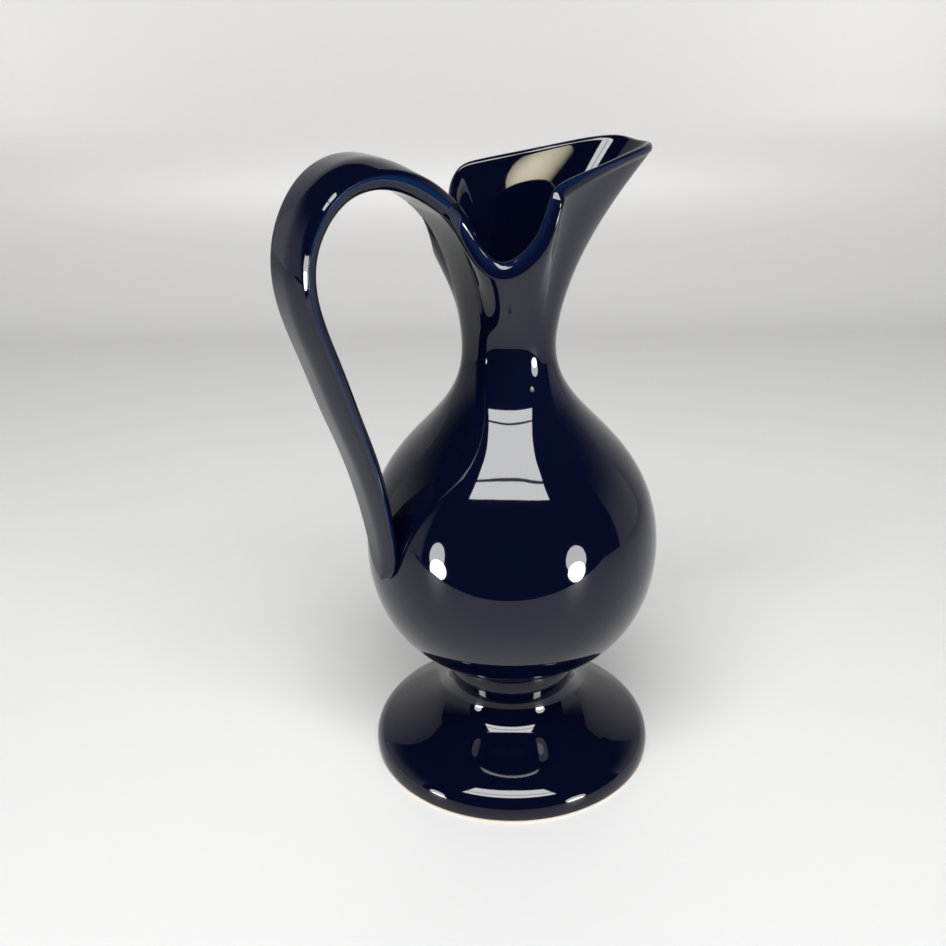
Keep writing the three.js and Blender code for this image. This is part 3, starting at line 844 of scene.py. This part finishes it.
def slices(ring, radius, end, up, bend, steps=48):
    """One cubic curve per rim point: up from the waist, then in line with the wall at the rim,
    by RIM_PULL of its rise. Its first reach is the root of (way out times bend / 1.5), which
    gives the waist the same bend as the profile below it."""
    rise = end[:, 2:] - WAIST
    foot = ring * radius + [0, 0, WAIST]
    second = end - up * rise * RIM_PULL
    out = np.linalg.norm((second - foot)[:, :2], axis=1, keepdims=True)
    out = np.maximum(out, LEAST_OUT)
    first = foot + np.array([0, 0, 1.0]) * np.sqrt(out * bend / 1.5)
    t = np.linspace(0, 1, steps)[None, :, None]
    a, b, c, d = (point[:, None] for point in (foot, first, second, end))
    return a * (1 - t) ** 3 + 3 * b * (1 - t) ** 2 * t + 3 * c * (1 - t) * t * t + d * t**3


def neck_rows(ring, line, steps=40):
    """The round stretch of neck between the joint and the waist, one column per rim point."""
    stretch = clipped(line, NECK_JOINT, WAIST, steps)
    return ring[:, None] * stretch[None, :, :1] + stretch[None, :, 1:] * np.array([0, 0, 1.0])

# %% The rim's rounding, and the grids
def rounded_edge(place, normal, crest, half, reach, bevel, steps=12):
    """Over the rim from outside to inside: centre + normal h cos b + crest r sin b. The outer
    quarter starts lower by the bevel, and the crest stands in by it, times sin^2 b."""
    turn = np.linspace(0, np.pi, 2 * steps + 1)[None, :, None]
    half, reach, bevel = half[:, None], reach[:, None], bevel[:, None]
    drop = np.where(turn < np.pi / 2, bevel, 0)
    return (place[:, None] + normal[:, None] * (half * np.cos(turn) - bevel * np.sin(turn) ** 2)
            + crest[:, None] * ((reach + drop) * np.sin(turn) - drop))


def mouth_outline():
    """The grids of the outer wall, the rounded rim and the lining, one row per rim point. The
    radius of the bend at a cubic curve's end is 1.5 d^2 / h: d is its last pull, and h is
    how far its second control stands off the line of that pull."""
    place, settings, tangent, free = rim_rows()
    ring, up, normal, crest = wall_directions(place, settings, tangent)
    half, bevel = settings[:, 2:3], settings[:, 3:4]
    bend = 1.5 * NECK_DRAW**2 / (BELLY_RADIUS - NECK_RADIUS)
    outline = globe_profile()
    edge = rounded_edge(place, normal, crest, half, roundness(half) * free[:, None], bevel)
    outer = slices(ring, NECK_RADIUS, edge[:, 0], up, bend)
    outer = np.concatenate([neck_rows(ring, outline)[:, :-1], outer], 1)
    inner = slices(ring, NECK_RADIUS - WALL, edge[:, -1], up, bend + WALL)
    inner = np.concatenate([neck_rows(ring, stood_in(outline, WALL))[:, :-1], inner], 1)
    angle = np.radians(settings[:, :1])
    outer, edge, inner = (grid + hand_shift(angle, grid[..., 2]) for grid in (outer, edge, inner))
    return outer, edge, inner[:, ::-1]

# %% [markdown]
# ## The mouth's sheets
# The mouth is the outer wall, the lining and the rounded rim between them, with the cut face
# of the tongue behind and a level ring that sits on the globe. Where wall and rim meet, both
# take the mean of their normals, so that no line shows in the mirror. The glaze runs thin
# on the outer side of the crest, so the tone is highest there.

# %% The mouth's sheets
# The tone over the rim is a bell curve of the turn from outside to inside, in radians: where
# it peaks, how wide it is, and its peak.
THIN_AT = 1.2
THIN_SPREAD = 0.32
THIN_MOST = 0.5


def drawn_mouth():
    """The mouth's sheets: outer wall, lining, rounded rim, the cut face of the tongue, and
    the ring that sits on the globe. Walls and rim share their normals where they meet."""
    outer, edge, inner = mouth_outline()
    free, lean = rim_rows()[3], math.radians(TONGUE_LEAN)
    rows = int(free.sum())
    rim, face = edge[:rows], np.concatenate([edge[rows - 1:], edge[:1]])
    outer_normals, inner_normals = grid_normals(outer), grid_normals(inner)
    rim_normals = grid_normals(rim, ring=False)
    over = np.linspace(0, np.pi, rim.shape[1])
    crest = THIN_MOST * np.exp(-((over - THIN_AT) / THIN_SPREAD) ** 2)
    for wall_normals, at, column in ((outer_normals, -1, 0), (inner_normals, 0, -1)):
        shared = unit(wall_normals[1:rows - 1, at] + rim_normals[1:-1, column])
        wall_normals[1:rows - 1, at] = shared
        rim_normals[1:-1, column] = shared
    seat = np.stack([inner[:, -1], outer[:, 0]], 1)
    return [sheet(outer, outer_normals), sheet(inner, inner_normals),
            sheet(rim, rim_normals, ring=False, tone=crest[None]),
            sheet(face, np.array([-math.sin(lean), 0, math.cos(lean)]), ring=False),
            sheet(seat, np.array([0, 0, -1.0]))]


mouth_piece = make_piece("neck_and_mouth_surface", drawn_mouth(), glaze_material)
report(mouth_piece)

# %% [markdown]
# ## The window in the mouth
# The warm lamp is there for the inside of the mouth alone. Light linking names the pieces
# that a lamp may light, so the foot, the globe and the strap do not mirror it.

# %% What the warm lamp lights
lit_pieces = bpy.data.collections.new("lit_by_warm_window")
lit_pieces.objects.link(mouth_piece)
warm_window.light_linking.receiver_collection = lit_pieces

# %% [markdown]
# ## The handle
# The strap is a flat band with rounded edges, pulled from a lump of clay, so it tapers
# from the tongue to a thumb-wide tail. Its section is carried along a spline that starts
# in line with the tongue and ends pressed on the globe. On the near side its outer face is
# worn down towards the edge, past a line a little off the middle, which turns that face
# towards the lamps. A curve object with a bevel shape could sweep a plain band, but it
# could not wear down one side alone.

# %% The strap's course
BACK_INSET = 5.0


def beside_globe(height, lift):
    """How far forward the globe's rear outline lies at a height, with a lift off it."""
    outline = globe_profile()
    return -np.interp(height, outline[:, 1], outline[:, 0]) - lift


def strap_stations():
    """Stations from tongue to tail: forward, height, half thickness, half width."""
    root, wide, back = STRAP_HALF_ROOT, STRAP_HALF_WIDTH, -HANDLE_BACK + BACK_INSET
    return np.array([
        (-TONGUE_BACK, TONGUE_TOP, root, wide),
        (-52.4, ARCH_TOP, root + 0.9, wide),
        (back + 12.1, ARCH_TOP - 2.3, root + 0.9, wide - 0.4),
        (back, ARCH_TOP - 20.1, root + 0.1, wide - 1),
        (back + 0.1, ARCH_TOP - 41, root + 0.1, wide - 1.2),
        (back + 6.3, ARCH_TOP - 60.9, root + 0.1, wide - 1.3),
        (back + 12.6, ARCH_TOP - 80.6, root, wide - 1.6),
        (-65.5, 146.9, root - 0.3, wide - 2.3),
        (-60.5, 126.4, TAIL_HALF + 0.6, TAIL_HALF_WIDTH + 1),
        (beside_globe(107.5, 2.0), 107.5, TAIL_HALF, TAIL_HALF_WIDTH),
        (beside_globe(95.2, 0.9), 95.2, TAIL_HALF - 0.6, TAIL_HALF_WIDTH - 0.8)])


print(len(strap_stations()), "stations, the last pressed on the globe")

# %% The strap's skin
CROWN = 0.94
CROWN_START = 0.15
CROWN_POWER = 1.5
CROWN_GROWS = (0.2, 1.6)
FLAT_SHARE = 3
TIP_SHARE = 0.985
SHARP_EDGE = 16


def pulled_strap(per_span=16, around=96):
    """The band's section, two half ellipses joined by flats, carried along its spline. On
    the near outer side, past CROWN_START of the half width, the thickness is cut by CROWN
    times a power of how far past. Over the last span the width falls as a circle's does,
    which rounds the thumb tip."""
    stations = strap_stations()
    count = len(stations)
    u = np.linspace(0, count - 1, (count - 1) * per_span + 1)
    lean = math.radians(TONGUE_LEAN)
    stride = np.linalg.norm(stations[1, :2] - stations[0, :2])
    start = stride * np.array([-math.sin(lean), math.cos(lean)])
    line = spline(stations[:, :2], u, (start, stations[-1, :2] - stations[-2, :2]))
    thick, width = spline(stations[:, 2:], u).T
    along = np.gradient(line, axis=0, edge_order=2)
    along[0] = start
    along = unit(along)
    tip = np.clip(u - (count - 2), 0, 1) * TIP_SHARE
    width = width * np.sqrt(1 - tip**2)
    reach = np.minimum(roundness(thick), width)
    angle = np.linspace(0, 2 * np.pi, around, endpoint=False)
    flat = np.clip(np.cos(angle) * FLAT_SHARE, -1, 1)
    sideways = (width - reach)[:, None] * flat + reach[:, None] * np.cos(angle)
    beyond = np.maximum(0, -sideways / width[:, None] - CROWN_START) / (1 - CROWN_START)
    crown = CROWN * smooth(u, *CROWN_GROWS)[:, None] * beyond**CROWN_POWER
    crown = np.where(np.sin(angle) > 0, crown, 0)
    lift = thick[:, None] * np.sin(angle) * (1 - crown)
    grid = np.zeros((len(u), around, 3))
    grid[..., 0] = line[:, :1] + along[:, 1:] * lift
    grid[..., 1] = sideways
    grid[..., 2] = line[:, 1:] - along[:, :1] * lift
    edge = np.abs(np.cos(angle)) ** SHARP_EDGE * np.ones((len(u), 1))
    return grid, np.stack([along[:, 0], 0 * u, along[:, 1]], 1), edge

# %% The strap
def strap_sheets():
    """The strap's sheets: its skin, and both ends closed to their middles."""
    grid, along, edge = pulled_strap()
    grid = grid[:, ::-1]
    ends = []
    for row, facing in ((0, -along[0]), (-1, along[-1])):
        middle = np.broadcast_to(grid[row].mean(0), grid[row].shape)
        pair = (grid[row], middle) if row else (middle, grid[row])
        ends.append(sheet(np.stack(pair, 1), facing))
    return [sheet(grid.transpose(1, 0, 2), ring=True, tone=edge.T), *ends]


handle_piece = make_piece("handle_surface", strap_sheets(), glaze_material)
report(handle_piece)

# %% [markdown]
# ## Fixing the pieces to the frame
# Nothing on this pot moves, so every piece rides on its one body. Each surface stands for
# the member that it covers.

# %% What each piece stands for
for piece, member in ((foot_piece, "foot"), (globe_piece, "belly"),
                      (mouth_piece, "neck_and_mouth"), (handle_piece, "handle")):
    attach(piece, "root")
    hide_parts(member)
